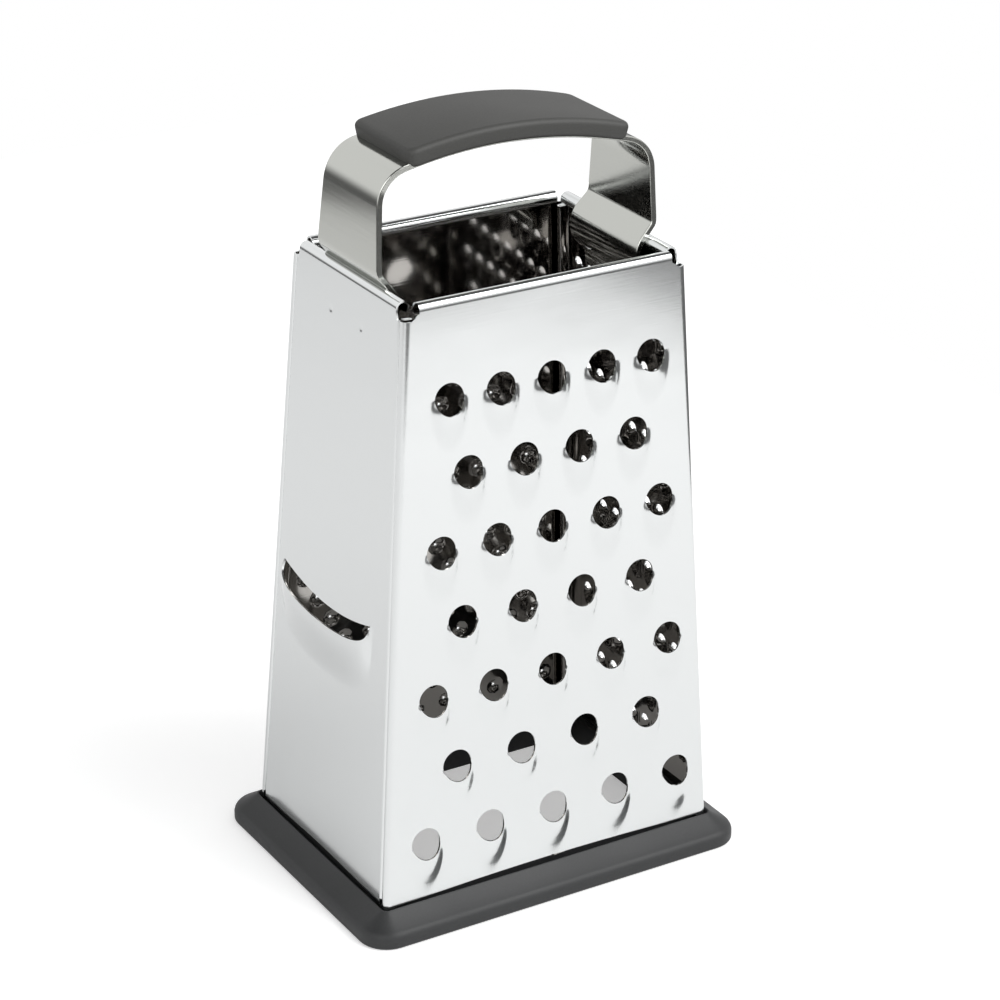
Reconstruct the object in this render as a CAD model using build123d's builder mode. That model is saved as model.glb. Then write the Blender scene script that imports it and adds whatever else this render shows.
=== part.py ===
from build123d import *
import math
import os

# Box grater: four sheet faces locked together at folded corner seams, a strap handle welded
# inside the two narrow faces, a soft grip on the strap and a rubber ring round the lower edge.
# Millimetres, +Z up, origin on the floor in the middle of the base. The coarse face looks
# along -Y, the slicing face along -X, the shredding face along +Y and the zesting face along +X.

# Body, measured over the outside of the sheet
body_low_height = 9.0
body_low_width = 110.7
body_low_depth = 77.6
notch_height = 183.0
notch_width = 90.3
notch_depth = 63.7
rim_height = 187.5
sheet = 0.5

# Corner bend and lock seam, on the narrow face beside each corner
corner_bend = 1.8
seam_setback = 2.8
seam_bend = 0.6
seam_gap = 0.1
flute_depth = 3.2
hook_length = 2.0
narrow_bend = 0.8
flute_foot_height = 10.6

# Lower edge of the sheet: corner tips stand in the ring, the edge arches up between them
tip_height = 6.5
edge_height = 8.7
edge_arch = 1.4

# Rolled rim, cut back from each corner
roll_radius = 2.0
roll_setback = 4.6
roll_wrap = 225
roll_leg = 1.0

# Coarse face: round holes over raised scoops, in rows of 5 and 4 that fan out downward
coarse_rows = 7
coarse_columns = 5
coarse_first_height = 27.4
coarse_row_pitch = 22.13
coarse_top_pitch = 16.3
coarse_pitch_growth = 1.68
coarse_hole = 9.8
coarse_scoop_width = 11.0
coarse_scoop_length = 14.0
coarse_scoop_rise = 3.6
coarse_hole_side_count = 16
coarse_scoop_side_count = 5

# Slicing face: one mouth between two arcs over a wide shallow scoop, set towards the back
slicer_height = 90.4
slicer_half_length = 26.0
slicer_offset = 3.0
slicer_upper_sag = 3.9
slicer_lower_sag = 7.2
slicer_scoop_length = 22.0
slicer_scoop_rise = 3.2
slicer_scoop_side_count = 9

# Shredding face: small hooded teeth on slanting rows
shred_step = 7.2
shred_drop = 6.0
shred_lift = 14.7
shred_drift = 2.9
shred_margin = 9.5
shred_low_height = 27.0
shred_high_height = 176.0
shred_tooth_width = 5.4
shred_tooth_length = 8.4
shred_tooth_rise = 1.6
shred_lip = 2.6
shred_mouth_width = 3.0
shred_mouth_length = 3.8
shred_mouth_rise = 1.0

# Zesting face: square barbs, each pierced outward
zest_pitch = 11.2
zest_margin = 8.5
zest_low_height = 30.0
zest_high_height = 168.0
zest_barb_width = 3.4
zest_barb_rise = 1.3
zest_barb_tip = 2.0
zest_hole = 1.5

# Strap handle: outer surface of the strip, one side of the middle, measured from the rim
strap_thickness = 1.8
strap_top_width = 29.4
strap_foot_width = 35.0
strap_rise = 37.1
strap_arch_sag = 3.3
strap_arch_inset = 10.65
shoulder_inset = 1.0
shoulder_bend = 9.0
kink_rise = 3.4
kink_bend = 2.4
throat_drop = 3.1
throat_inset = 6.0
throat_bend = 4.0
tab_start_drop = 10.5
tab_start_bend = 5.0
tab_end_drop = 17.0
weld_gap = 0.05

# Soft grip moulded round the top of the strap
grip_over = 4.0
grip_under = 0.8
grip_beyond = 0.3
grip_width = 32.0
grip_corner_round = 2.8
grip_top_bevel = 1.4
grip_edge_bevel = 1.0
grip_fit = 0.05

# Rubber ring under the body
ring_flare = 8.2
ring_height = 8.8
ring_shoulder_height = 4.2
ring_corner = 9.0
ring_lip_gap = 0.7
ring_shoulder_round = 3.0
ring_floor_bevel = 1.6
ring_groove_floor = 6.3
ring_inner_gap = 0.7
ring_inner_lip = 2.6
ring_inner_height = 9.8
ring_inner_corner = 4.0

overrun = 2.0

lean_across = (body_low_width - notch_width) / 2 / (notch_height - body_low_height)
lean_deep = (body_low_depth - notch_depth) / 2 / (notch_height - body_low_height)


def half_width(height):
    """Half the outside width of the body at a height above the floor."""
    return notch_width / 2 + lean_across * (notch_height - height)


def half_depth(height):
    """Half the outside depth of the body at a height above the floor."""
    return notch_depth / 2 + lean_deep * (notch_height - height)


class WallFace:
    """One of the four faces: its turned frame, its lean, and half its width at a height."""

    def __init__(self, turn, half_out, half_across, lean_out):
        level = Plane.XY.rotated((0, 0, turn))
        self.half_out = half_out
        self.half_across = half_across
        self.lean_out = lean_out
        self.inward = level.y_dir
        self.along = level.x_dir
        self.up = Vector(0, 0, 1)
        outward = self.up * lean_out - self.inward
        self.face = Plane(origin=self.inward * -half_out(0), x_dir=self.along, z_dir=outward)
        self.profile = Plane(origin=(0, 0, 0), x_dir=self.inward, z_dir=self.along)

    def climb(self, height):
        """Distance up the leaning face for a height above the floor."""
        return height * math.hypot(1, self.lean_out)

    def corner_point(self, height):
        """Sharp outer line of the right-hand corner of this face, at a height."""
        level = self.along * self.half_across(height) - self.inward * self.half_out(height)
        return level + self.up * height

    def corner_plane(self, low, high):
        """Plane square to the right-hand corner: x along the face, y into the body."""
        foot = self.corner_point(low)
        run = self.corner_point(high) - foot
        return Plane(origin=foot, x_dir=run.cross(self.face.z_dir), z_dir=run)


coarse_side = WallFace(0, half_depth, half_width, lean_deep)
shred_side = WallFace(180, half_depth, half_width, lean_deep)
slicer_side = WallFace(-90, half_width, half_depth, lean_across)
zest_side = WallFace(90, half_width, half_depth, lean_across)


def roll_start(side):
    """Height where the flat sheet ends and the rolled rim begins."""
    return rim_height - roll_radius + roll_radius * side.lean_out / math.hypot(1, side.lean_out)


def flat_sheet(side, edge):
    """Flat part of a face, between its two corner bends, with the arched lower edge."""
    low = edge_height
    high = roll_start(side)
    with BuildSketch(side.face) as blank:
        with BuildLine():
            Line((-edge(low), side.climb(low)), (-edge(high), side.climb(high)))
            Line((-edge(high), side.climb(high)), (edge(high), side.climb(high)))
            Line((edge(high), side.climb(high)), (edge(low), side.climb(low)))
            crown = (0, side.climb(low + edge_arch))
            ThreePointArc((edge(low), side.climb(low)), crown, (-edge(low), side.climb(low)))
        make_face()
    extrude(blank.sketch, amount=-sheet)


def both_corners(side, section, low, high):
    """Carry a right-hand corner section up its leaning corner, and mirror it to the left."""
    run = side.corner_point(high) - side.corner_point(low)
    right = extrude(section, amount=run.length)
    mirror(right, about=Plane(origin=(0, 0, 0), z_dir=side.along))


def corner_wrap(side):
    """Corner bend, side strip, and the fold and hook of the lock seam, of a wide face."""
    pocket = sheet / 2 + seam_gap
    for low, high, folded in (
        (tip_height, flute_foot_height, False),
        (flute_foot_height, roll_start(side), True),
    ):
        with BuildSketch(side.corner_plane(low, high)) as section:
            with BuildLine():
                lap = Line((-corner_bend - sheet, 0), (-corner_bend, 0))
                bend = JernArc(lap @ 1, (1, 0), corner_bend, 90)
                strip = Line(bend @ 1, (0, seam_setback - seam_bend))
                if folded:
                    turn = JernArc(strip @ 1, (0, 1), seam_bend, 90)
                    fold = Line(turn @ 1, (-flute_depth, seam_setback))
                    hook = JernArc(fold @ 1, (-1, 0), pocket, -180)
                    Line(hook @ 1, hook @ 1 + Vector(hook_length, 0))
                offset(amount=sheet, side=Side.LEFT, closed=True)
            make_face()
        both_corners(side, section.sketch, low, high)


def seam_flange(side):
    """Folded edges of a narrow face, which stand in the hooks of the wide faces."""
    low = flute_foot_height
    high = roll_start(side)
    end = -seam_setback - seam_gap
    with BuildSketch(side.corner_plane(low, high)) as section:
        with BuildLine():
            lap = Line((end - narrow_bend - sheet, 0), (end - narrow_bend, 0))
            bend = JernArc(lap @ 1, (1, 0), narrow_bend, 90)
            Line(bend @ 1, (end, flute_depth))
            offset(amount=sheet, side=Side.LEFT, closed=True)
        make_face()
    both_corners(side, section.sketch, low, high)


def rolled_rim(side):
    """Top edge rolled over and down inside, stopped short of both corners."""
    start = roll_start(side)
    slope = math.hypot(1, side.lean_out)
    rise = Vector(side.lean_out, 1) / slope
    with BuildSketch(side.profile) as section:
        with BuildLine():
            top = Vector(-side.half_out(start), start)
            leg = Line(top - rise * roll_leg, top)
            JernArc(leg @ 1, rise, roll_radius, -roll_wrap)
            offset(amount=sheet, side=Side.RIGHT, closed=True)
        make_face()
    extrude(section.sketch, amount=side.half_across(start) - roll_setback, both=True)


def corner_notches(side):
    """Cut the sheet away on a slant between each corner and the end of the rolled rim."""
    start = roll_start(side)
    inner = side.half_across(start) - roll_setback
    outer = side.half_across(notch_height)
    with BuildSketch(side.face) as cut:
        for way in (-1, 1):
            with BuildLine():
                Polyline(
                    (way * inner, side.climb(rim_height + overrun)),
                    (way * inner, side.climb(start - roll_radius / 4)),
                    (way * outer, side.climb(notch_height)),
                    (way * (outer + overrun), side.climb(notch_height)),
                    (way * (outer + overrun), side.climb(rim_height + overrun)),
                    close=True,
                )
            make_face()
    reach = flute_depth + overrun
    extrude(cut.sketch, amount=-reach, mode=Mode.SUBTRACT)
    extrude(cut.sketch, amount=overrun, mode=Mode.SUBTRACT)


def wide_face(side):
    """Bare wide face: flat sheet, corner wraps, rolled rim and corner notches."""
    inset = corner_bend + sheet / 2
    flat_sheet(side, lambda height: side.half_across(height) - inset)
    corner_wrap(side)
    rolled_rim(side)
    corner_notches(side)


def narrow_face(side):
    """Bare narrow face: flat sheet, seam flanges, rolled rim and corner notches."""
    inset = seam_setback + seam_gap + narrow_bend + sheet / 2
    flat_sheet(side, lambda height: side.half_across(height) - inset)
    seam_flange(side)
    rolled_rim(side)
    corner_notches(side)


def scoop(width, length, rise, inside, side_count):
    """Raised scoop on the XY plane: the top of a flat-sided cone that sinks at y = -length.

    The inside of the sheet is the same cone made smaller.
    """
    crown = ((width / 2) ** 2 + rise ** 2) / (2 * rise)
    slope = math.atan2(rise, length)
    spread = math.asin(width / 2 / crown) * (side_count - 1) / side_count
    with BuildPart() as dome:
        with Locations((0, 0, -inside - sheet / 2)):
            Box(2 * width, length, 2 * rise, align=(Align.CENTER, Align.MAX, Align.MIN))
        for side in range(side_count):
            turn = spread * (2 * side / (side_count - 1) - 1)
            spoke = Vector(math.sin(turn), 0, math.cos(turn))
            out = spoke * math.cos(slope) - Vector(0, math.sin(slope), 0)
            foot = Vector(0, 0, rise - crown) + spoke * (crown - inside)
            split(bisect_by=Plane(origin=foot, z_dir=out), keep=Keep.BOTTOM)
    return dome.part


def coarse_places():
    """Hole centres of the coarse face, in the plane of the face."""
    places = []
    for row in range(coarse_rows):
        height = coarse_first_height + (coarse_rows - 1 - row) * coarse_row_pitch
        pitch = coarse_top_pitch + coarse_pitch_growth * ((row + 1) // 2)
        columns = coarse_columns - row % 2
        for column in range(columns):
            across = (column - (columns - 1) / 2) * pitch
            places.append((across, coarse_side.climb(height)))
    return places


def shred_places():
    """Tooth mouths of the shredding face: rows that run downhill, clear of the margins."""
    places = []
    reach = int(notch_height / shred_drop)
    for row in range(-reach, reach):
        for step in range(-reach, reach):
            across = -step * shred_step - row * shred_drift
            height = notch_height / 2 - step * shred_drop + row * shred_lift
            inside = abs(across) < half_width(height) - shred_margin
            if inside and shred_low_height < height < shred_high_height:
                places.append((across, shred_side.climb(height)))
    return places


def zest_places():
    """Points of the zesting face, in staggered rows."""
    places = []
    rows = int((zest_high_height - zest_low_height) / zest_pitch)
    for row in range(rows + 1):
        height = zest_low_height + row * zest_pitch
        room = half_depth(height) - zest_margin
        shift = zest_pitch / 2 * (row % 2)
        count = int((room - shift) / zest_pitch)
        for column in range(-count - row % 2, count + 1):
            places.append((column * zest_pitch + shift, zest_side.climb(height)))
    return places


def hood(width, length, rise, lip):
    """Small hood on the XY plane: mouth across y = 0, narrow lip on top, tail at y = -length."""
    with BuildPart() as peak:
        with Locations(Location((0, 0, -sheet), (90, 0, 0))):
            ends = ((width - lip) / 2, (width + lip) / 2)
            Wedge(
                width, rise + sheet, length, ends[0], 0, ends[1], 0,
                align=(Align.CENTER, Align.MIN, Align.MIN),
            )
    return peak.part


def barb(width, rise, tip):
    """Square-based barb on the XY plane with a blunt tip."""
    with BuildPart() as spike:
        with Locations(Location((0, 0, -sheet / 2), (90, 0, 0))):
            ends = ((width - tip) / 2, (width + tip) / 2)
            Wedge(
                width, rise + sheet / 2, width, ends[0], ends[0], ends[1], ends[1],
                align=(Align.CENTER, Align.MIN, Align.CENTER),
            )
    return spike.part


# Coarse face
coarse_size = (coarse_scoop_width, coarse_scoop_length, coarse_scoop_rise)
coarse_scoop = scoop(*coarse_size, 0, coarse_scoop_side_count)
coarse_hollow = scoop(*coarse_size, sheet, coarse_scoop_side_count)

with BuildPart(coarse_side.face) as coarse_panel:
    wide_face(coarse_side)
    with Locations(*coarse_places()):
        add(coarse_scoop)
    with Locations(*coarse_places()):
        add(coarse_hollow, mode=Mode.SUBTRACT)
    with BuildSketch(coarse_side.face) as holes:
        with Locations(*coarse_places()):
            RegularPolygon(coarse_hole / 2, coarse_hole_side_count)
    extrude(holes.sketch, amount=coarse_scoop_rise + overrun, mode=Mode.SUBTRACT)
    extrude(holes.sketch, amount=-overrun, mode=Mode.SUBTRACT)
coarse_panel.part.label = "coarse_panel"

# Slicing face: one wide scoop, its mouth cut between two sagging arcs
slicer_size = (2 * slicer_half_length, slicer_scoop_length, slicer_scoop_rise)
slicer_scoop = scoop(*slicer_size, 0, slicer_scoop_side_count)
slicer_hollow = scoop(*slicer_size, sheet, slicer_scoop_side_count)
slicer_place = (-slicer_offset, slicer_side.climb(slicer_height))

with BuildPart(slicer_side.face) as slicer_panel:
    narrow_face(slicer_side)
    with Locations(slicer_place):
        add(slicer_scoop)
    with Locations(slicer_place):
        add(slicer_hollow, mode=Mode.SUBTRACT)
    with BuildSketch(slicer_side.face) as slicer_mouth:
        with Locations(slicer_place):
            with BuildLine():
                ends = ((-slicer_half_length, 0), (slicer_half_length, 0))
                ThreePointArc(ends[0], (0, -slicer_upper_sag), ends[1])
                ThreePointArc(ends[0], (0, -slicer_lower_sag), ends[1])
            make_face()
    extrude(slicer_mouth.sketch, amount=slicer_scoop_rise + overrun, mode=Mode.SUBTRACT)
    extrude(slicer_mouth.sketch, amount=-overrun, mode=Mode.SUBTRACT)
slicer_panel.part.label = "slicer_panel"

# Shredding face
shred_hood = hood(shred_tooth_width, shred_tooth_length, shred_tooth_rise, shred_lip)

with BuildPart(shred_side.face) as shred_panel:
    wide_face(shred_side)
    with Locations(*shred_places()):
        add(shred_hood)
    with BuildSketch(shred_side.face) as mouths:
        with Locations(*[(x, y - shred_mouth_length / 4) for x, y in shred_places()]):
            Rectangle(shred_mouth_width, shred_mouth_length)
    extrude(mouths.sketch, amount=shred_mouth_rise, mode=Mode.SUBTRACT)
    extrude(mouths.sketch, amount=-overrun, mode=Mode.SUBTRACT)
shred_panel.part.label = "shred_panel"

# Zesting face
zest_barb = barb(zest_barb_width, zest_barb_rise, zest_barb_tip)

with BuildPart(zest_side.face) as zest_panel:
    narrow_face(zest_side)
    with Locations(*zest_places()):
        add(zest_barb)
    with BuildSketch(zest_side.face) as pricks:
        with Locations(*zest_places()):
            Rectangle(zest_hole, zest_hole)
    extrude(pricks.sketch, amount=zest_barb_rise + overrun, mode=Mode.SUBTRACT)
    extrude(pricks.sketch, amount=-overrun, mode=Mode.SUBTRACT)
zest_panel.part.label = "zest_panel"

# Strap handle: a strip bent over the top, in over each rolled rim and down inside the wall
strap_top_height = rim_height + strap_rise
strap_arch_half = notch_width / 2 - strap_arch_inset
shoulder_out = notch_width / 2 - shoulder_inset
kink_out = notch_width / 2
kink_height = rim_height + kink_rise
throat_out = notch_width / 2 - throat_inset
throat_height = rim_height - throat_drop
tab_start_height = rim_height - tab_start_drop
tab_end_height = rim_height - tab_end_drop


def wall_inside(height):
    """Inside of the narrow walls at a height, less the weld gap."""
    return half_width(height) - sheet - weld_gap


arch_radius = (strap_arch_half ** 2 + strap_arch_sag ** 2) / (2 * strap_arch_sag)
arch_end_height = strap_top_height - strap_arch_sag
arch_fall = strap_arch_half / math.sqrt(arch_radius ** 2 - strap_arch_half ** 2)
shoulder_height = arch_end_height - (shoulder_out - strap_arch_half) * arch_fall

with BuildPart() as handle_strap:
    with BuildSketch(Plane.XZ) as strip:
        with BuildLine():
            arch_end = (strap_arch_half, arch_end_height)
            RadiusArc((0, strap_top_height), arch_end, arch_radius)
            FilletPolyline(
                arch_end,
                (shoulder_out, shoulder_height),
                (kink_out, kink_height),
                (throat_out, throat_height),
                (wall_inside(tab_start_height), tab_start_height),
                (wall_inside(tab_end_height), tab_end_height),
                radius=(shoulder_bend, kink_bend, throat_bend, tab_start_bend),
            )
            offset(amount=strap_thickness, side=Side.RIGHT, closed=True)
        make_face()
        mirror(about=Plane.YZ)
    extrude(amount=strap_foot_width / 2, both=True)
    with BuildSketch(Plane.YZ) as flare:
        with BuildLine():
            top = strap_top_height + overrun
            foot = tab_end_height - overrun
            Polyline(
                (-strap_foot_width / 2, foot),
                (-strap_foot_width / 2, throat_height),
                (-strap_top_width / 2, strap_top_height - shoulder_bend),
                (-strap_top_width / 2, top),
                (strap_top_width / 2, top),
                (strap_top_width / 2, strap_top_height - shoulder_bend),
                (strap_foot_width / 2, throat_height),
                (strap_foot_width / 2, foot),
                close=True,
            )
        make_face()
    extrude(amount=kink_out + overrun, both=True, mode=Mode.INTERSECT)
handle_strap.part.label = "handle_strap"

# Soft grip, bowed like the strap, with a channel for it
grip_top_height = strap_top_height + grip_over
grip_bottom_height = strap_top_height - strap_thickness - grip_under
with BuildPart() as handle_grip:
    with BuildSketch(Plane.XZ) as bow:
        with BuildLine():
            half = strap_arch_half + grip_beyond
            fall = strap_arch_sag * (half / strap_arch_half) ** 2
            upper = ThreePointArc(
                (-half, grip_top_height - fall), (0, grip_top_height), (half, grip_top_height - fall)
            )
            lower = ThreePointArc(
                (half, grip_bottom_height - fall), (0, grip_bottom_height), (-half, grip_bottom_height - fall)
            )
            Line(upper @ 1, lower @ 0)
            Line(lower @ 1, upper @ 0)
        make_face()
    extrude(amount=grip_width / 2, both=True)
    fillet(handle_grip.edges().filter_by(Axis.Z), radius=grip_corner_round)
    chamfer(handle_grip.faces().sort_by(Axis.Z)[-1].edges(), length=grip_top_bevel)
    chamfer(handle_grip.faces().sort_by(Axis.Z)[0].edges(), length=grip_edge_bevel)
    with BuildSketch(Plane.XZ) as channel:
        with BuildLine():
            outer = strap_top_height + grip_fit
            inner = strap_top_height - strap_thickness - grip_fit
            reach = half + overrun
            dip = arch_radius - math.sqrt(arch_radius ** 2 - reach ** 2)
            over = ThreePointArc((-reach, outer - dip), (0, outer), (reach, outer - dip))
            under = ThreePointArc((reach, inner - dip), (0, inner), (-reach, inner - dip))
            Line(over @ 1, under @ 0)
            Line(under @ 1, over @ 0)
        make_face()
    extrude(amount=strap_top_width / 2 + grip_fit, both=True, mode=Mode.SUBTRACT)
handle_grip.part.label = "handle_grip"

# Rubber ring: flared skirt, groove for the sheet, lower lip inside
ring_width = body_low_width + 2 * ring_flare
ring_depth = body_low_depth + 2 * ring_flare
shoulder_run = ring_flare - ring_lip_gap - seam_gap
shoulder_taper = math.degrees(math.atan(shoulder_run / (ring_height - ring_shoulder_height)))
groove_out = ring_lip_gap
groove_in = -sheet - ring_inner_gap

with BuildPart() as base_bumper:
    with BuildSketch():
        RectangleRounded(ring_width, ring_depth, ring_corner)
    extrude(amount=ring_shoulder_height)
    with BuildSketch(Plane.XY.offset(ring_shoulder_height)):
        RectangleRounded(ring_width, ring_depth, ring_corner)
    extrude(amount=ring_height - ring_shoulder_height, taper=shoulder_taper)
    chamfer(base_bumper.edges().group_by(Axis.Z)[0], length=ring_floor_bevel)
    shoulder = base_bumper.edges().filter_by(lambda edge: abs(edge.center().Z - ring_shoulder_height) < sheet)
    fillet(shoulder, radius=ring_shoulder_round)
    with BuildSketch(Plane.XY.offset(ring_groove_floor)):
        RectangleRounded(body_low_width + 2 * groove_out, body_low_depth + 2 * groove_out, corner_bend)
    extrude(amount=ring_height, mode=Mode.SUBTRACT)
    with BuildSketch(Plane.XY.offset(ring_groove_floor)):
        RectangleRounded(body_low_width + 2 * groove_in, body_low_depth + 2 * groove_in, corner_bend)
    extrude(amount=ring_inner_height - ring_groove_floor)
    with BuildSketch():
        bore = groove_in - ring_inner_lip
        RectangleRounded(body_low_width + 2 * bore, body_low_depth + 2 * bore, ring_inner_corner)
    extrude(amount=ring_inner_height, mode=Mode.SUBTRACT)
base_bumper.part.label = "base_bumper"

os.makedirs("parts", exist_ok=True)
for piece in (
    coarse_panel,
    slicer_panel,
    shred_panel,
    zest_panel,
    handle_strap,
    handle_grip,
    base_bumper,
):
    export_step(piece.part, "parts/" + piece.part.label + ".step")
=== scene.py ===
import math

import bpy
from bpy.props import FloatProperty, FloatVectorProperty, IntProperty, PointerProperty
from bpy.types import Operator, Panel, PropertyGroup
from mathutils import Matrix, Vector


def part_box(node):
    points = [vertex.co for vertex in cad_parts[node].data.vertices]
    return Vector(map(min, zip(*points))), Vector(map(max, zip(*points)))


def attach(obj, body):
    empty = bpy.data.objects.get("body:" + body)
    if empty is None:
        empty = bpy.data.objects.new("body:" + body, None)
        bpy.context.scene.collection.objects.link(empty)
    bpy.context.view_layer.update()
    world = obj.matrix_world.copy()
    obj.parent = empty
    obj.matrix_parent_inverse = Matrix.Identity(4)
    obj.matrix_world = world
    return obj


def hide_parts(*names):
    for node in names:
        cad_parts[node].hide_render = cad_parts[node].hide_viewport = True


bl_info = {
    "name": "Box grater",
    "version": (1, 0, 0),
    "blender": (4, 5, 0),
    "location": "3D View > Sidebar > Box grater",
    "description": "Four-sided sheet steel grater with strap handle, soft grip and rubber ring",
    "category": "Object",
}

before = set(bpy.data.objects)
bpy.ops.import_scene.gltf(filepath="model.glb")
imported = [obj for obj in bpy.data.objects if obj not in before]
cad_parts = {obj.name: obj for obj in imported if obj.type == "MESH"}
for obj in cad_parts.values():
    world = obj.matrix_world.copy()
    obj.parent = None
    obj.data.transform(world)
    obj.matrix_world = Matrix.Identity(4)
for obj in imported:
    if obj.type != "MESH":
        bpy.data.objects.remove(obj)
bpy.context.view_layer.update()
MM = 0.001
BODY = "root"

# The rim and the grip end where the frame's own pieces do
RIM_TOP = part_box("coarse_panel")[1].z
GRIP_LOW, GRIP_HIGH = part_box("handle_grip")
# Two places closer than this are the same
CLOSE = 0.01 * MM


# Sizes that a user would change

def length(name, description, millimetres):
    """A length property with its default given in millimetres."""
    return FloatProperty(
        name=name, description=description, default=millimetres * MM,
        min=0.0, subtype="DISTANCE", unit="LENGTH",
    )


def colour(name, description, hex_value):
    """A colour property with its default given as an sRGB hex value."""
    return FloatVectorProperty(
        name=name, description=description, default=linear(hex_value),
        size=3, min=0.0, max=1.0, subtype="COLOR",
    )


def linear(hex_value):
    """An sRGB hex colour as linear red, green and blue."""
    channels = [int(hex_value[i:i + 2], 16) / 255 for i in (1, 3, 5)]
    return tuple(c / 12.92 if c <= 0.04045 else ((c + 0.055) / 1.055) ** 2.4 for c in channels)


class BodySizes(PropertyGroup):
    """The four-sided sheet body."""

    base_height: length("Base height", "Height where the lower sizes are measured", 9.0)
    base_width: length("Base width", "Outside width at the base height", 110.7)
    base_depth: length("Base depth", "Outside depth at the base height", 77.6)
    notch_height: length("Notch height", "Height of the corner notches below the rim", 183.0)
    notch_width: length("Notch width", "Outside width at the notches", 90.3)
    notch_depth: length("Notch depth", "Outside depth at the notches", 63.7)
    sheet: length("Sheet", "Thickness of the sheet", 0.5)
    corner_bend: length("Corner bend", "Outside radius of the four corners", 1.8)
    seam_setback: length("Seam setback", "From the wide face to the seam on the narrow face", 2.8)
    seam_bend: length("Seam bend", "Outside radius of the fold at the seam", 0.6)
    seam_gap: length("Seam gap", "Clearance between the two folded sheets", 0.1)
    flute_depth: length("Flute depth", "How far the folded seam reaches into the body", 3.2)
    flute_foot: length("Flute foot", "Height where the folded seam begins", 10.6)
    hook: length("Hook", "Length of the hook at the end of the seam fold", 2.0)
    narrow_bend: length("Narrow bend", "Outside radius of the narrow faces' folds", 0.8)
    tip_height: length("Tip height", "Height of the corner tips inside the base ring", 6.5)
    edge_height: length("Edge height", "Height of the sheet's lower edge", 8.7)
    edge_arch: length("Edge arch", "Rise of the lower edge in the middle of a face", 1.4)
    roll_radius: length("Roll radius", "Outside radius of the rolled rim", 2.0)
    roll_setback: length("Roll setback", "From the corner to the end of the rolled rim", 4.6)


class PunchSizes(PropertyGroup):
    """The punched holes, mouths and teeth."""

    coarse_rows: IntProperty(
        name="Coarse rows", description="Rows of coarse holes", default=7, min=1)
    coarse_columns: IntProperty(
        name="Coarse columns", description="Holes in the longer coarse rows", default=5, min=2)
    coarse_low: length("Lowest coarse row", "Height of the lowest row of holes", 26.3)
    coarse_pitch: length("Coarse row pitch", "Height between the rows of holes", 22.13)
    coarse_top_pitch: length("Top hole pitch", "Hole spacing in the top coarse row", 16.3)
    coarse_growth: length("Hole pitch growth", "Added hole spacing for each pair of rows", 1.68)
    coarse_hole: length("Coarse hole", "Diameter of a coarse hole", 9.2)
    coarse_tail: length("Coarse tail", "From a hole's middle to its scoop's end", 16.0)
    coarse_lift: length("Coarse lift", "How far the cutting edge stands out", 1.9)
    coarse_side: length("Coarse shoulder", "From a hole's side to its scoop's side", 1.9)
    coarse_shift: length("Coarse shift", "Sideways place of the pattern of holes", 0.9)
    slicer_height: length("Slicer height", "Height of the slicing mouth's ends", 90.4)
    slicer_half: length("Slicer half length", "Half the length of the slicing mouth", 25.4)
    slicer_offset: length("Slicer offset", "Sideways place of the slicing mouth", 3.4)
    slicer_upper: length("Upper edge sag", "Sag of the slicing mouth's upper edge", 3.9)
    slicer_lower: length("Lower edge sag", "Sag of the slicing mouth's lower edge", 8.0)
    slicer_tail: length("Slicer tail", "From the mouth's ends to the end of its scoop", 24.5)
    slicer_lift: length("Slicer lift", "How far the slicing edge stands out", 3.0)
    tooth_hole: length("Tooth hole", "Width of the hole of a scooped tooth", 3.7)
    tooth_rim: length("Tooth rim", "Half width of the scoop of a tooth", 3.1)
    tooth_tail: length("Tooth tail", "From the hole's middle to the scoop's end", 6.4)
    tooth_lift: length("Tooth lift", "How far a scooped tooth stands out", 1.6)
    tooth_pitch: length("Tooth pitch", "Sideways pitch of the scooped teeth", 6.8)
    tooth_row: length("Tooth row", "Height between the rows of scooped teeth", 10.8)
    tooth_low: length("Lowest tooth row", "Height of the lowest scooped teeth", 25.6)
    tooth_high: length("Highest tooth row", "Height of the highest scooped teeth", 167.0)
    tooth_margin: length("Tooth margin", "Plain border beside the scooped teeth", 7.5)
    point_hole: length("Point hole", "Width of the torn opening in a raised point", 1.5)
    point_rim: length("Point rim", "Half width of the foot of a raised point", 2.8)
    point_lift: length("Point lift", "How far a raised point stands out", 0.9)
    point_pitch: length("Point pitch", "Sideways pitch of the raised points", 9.0)
    point_row: length("Point row", "Height between the rows of raised points", 7.8)
    point_low: length("Lowest point row", "Height of the lowest raised points", 24.0)
    point_high: length("Highest point row", "Height of the highest raised points", 161.0)
    point_margin: length("Point margin", "Plain border beside the raised points", 8.5)
    weld_height: length("Weld height", "Height of the handle's spot welds", 174.2)


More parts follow.
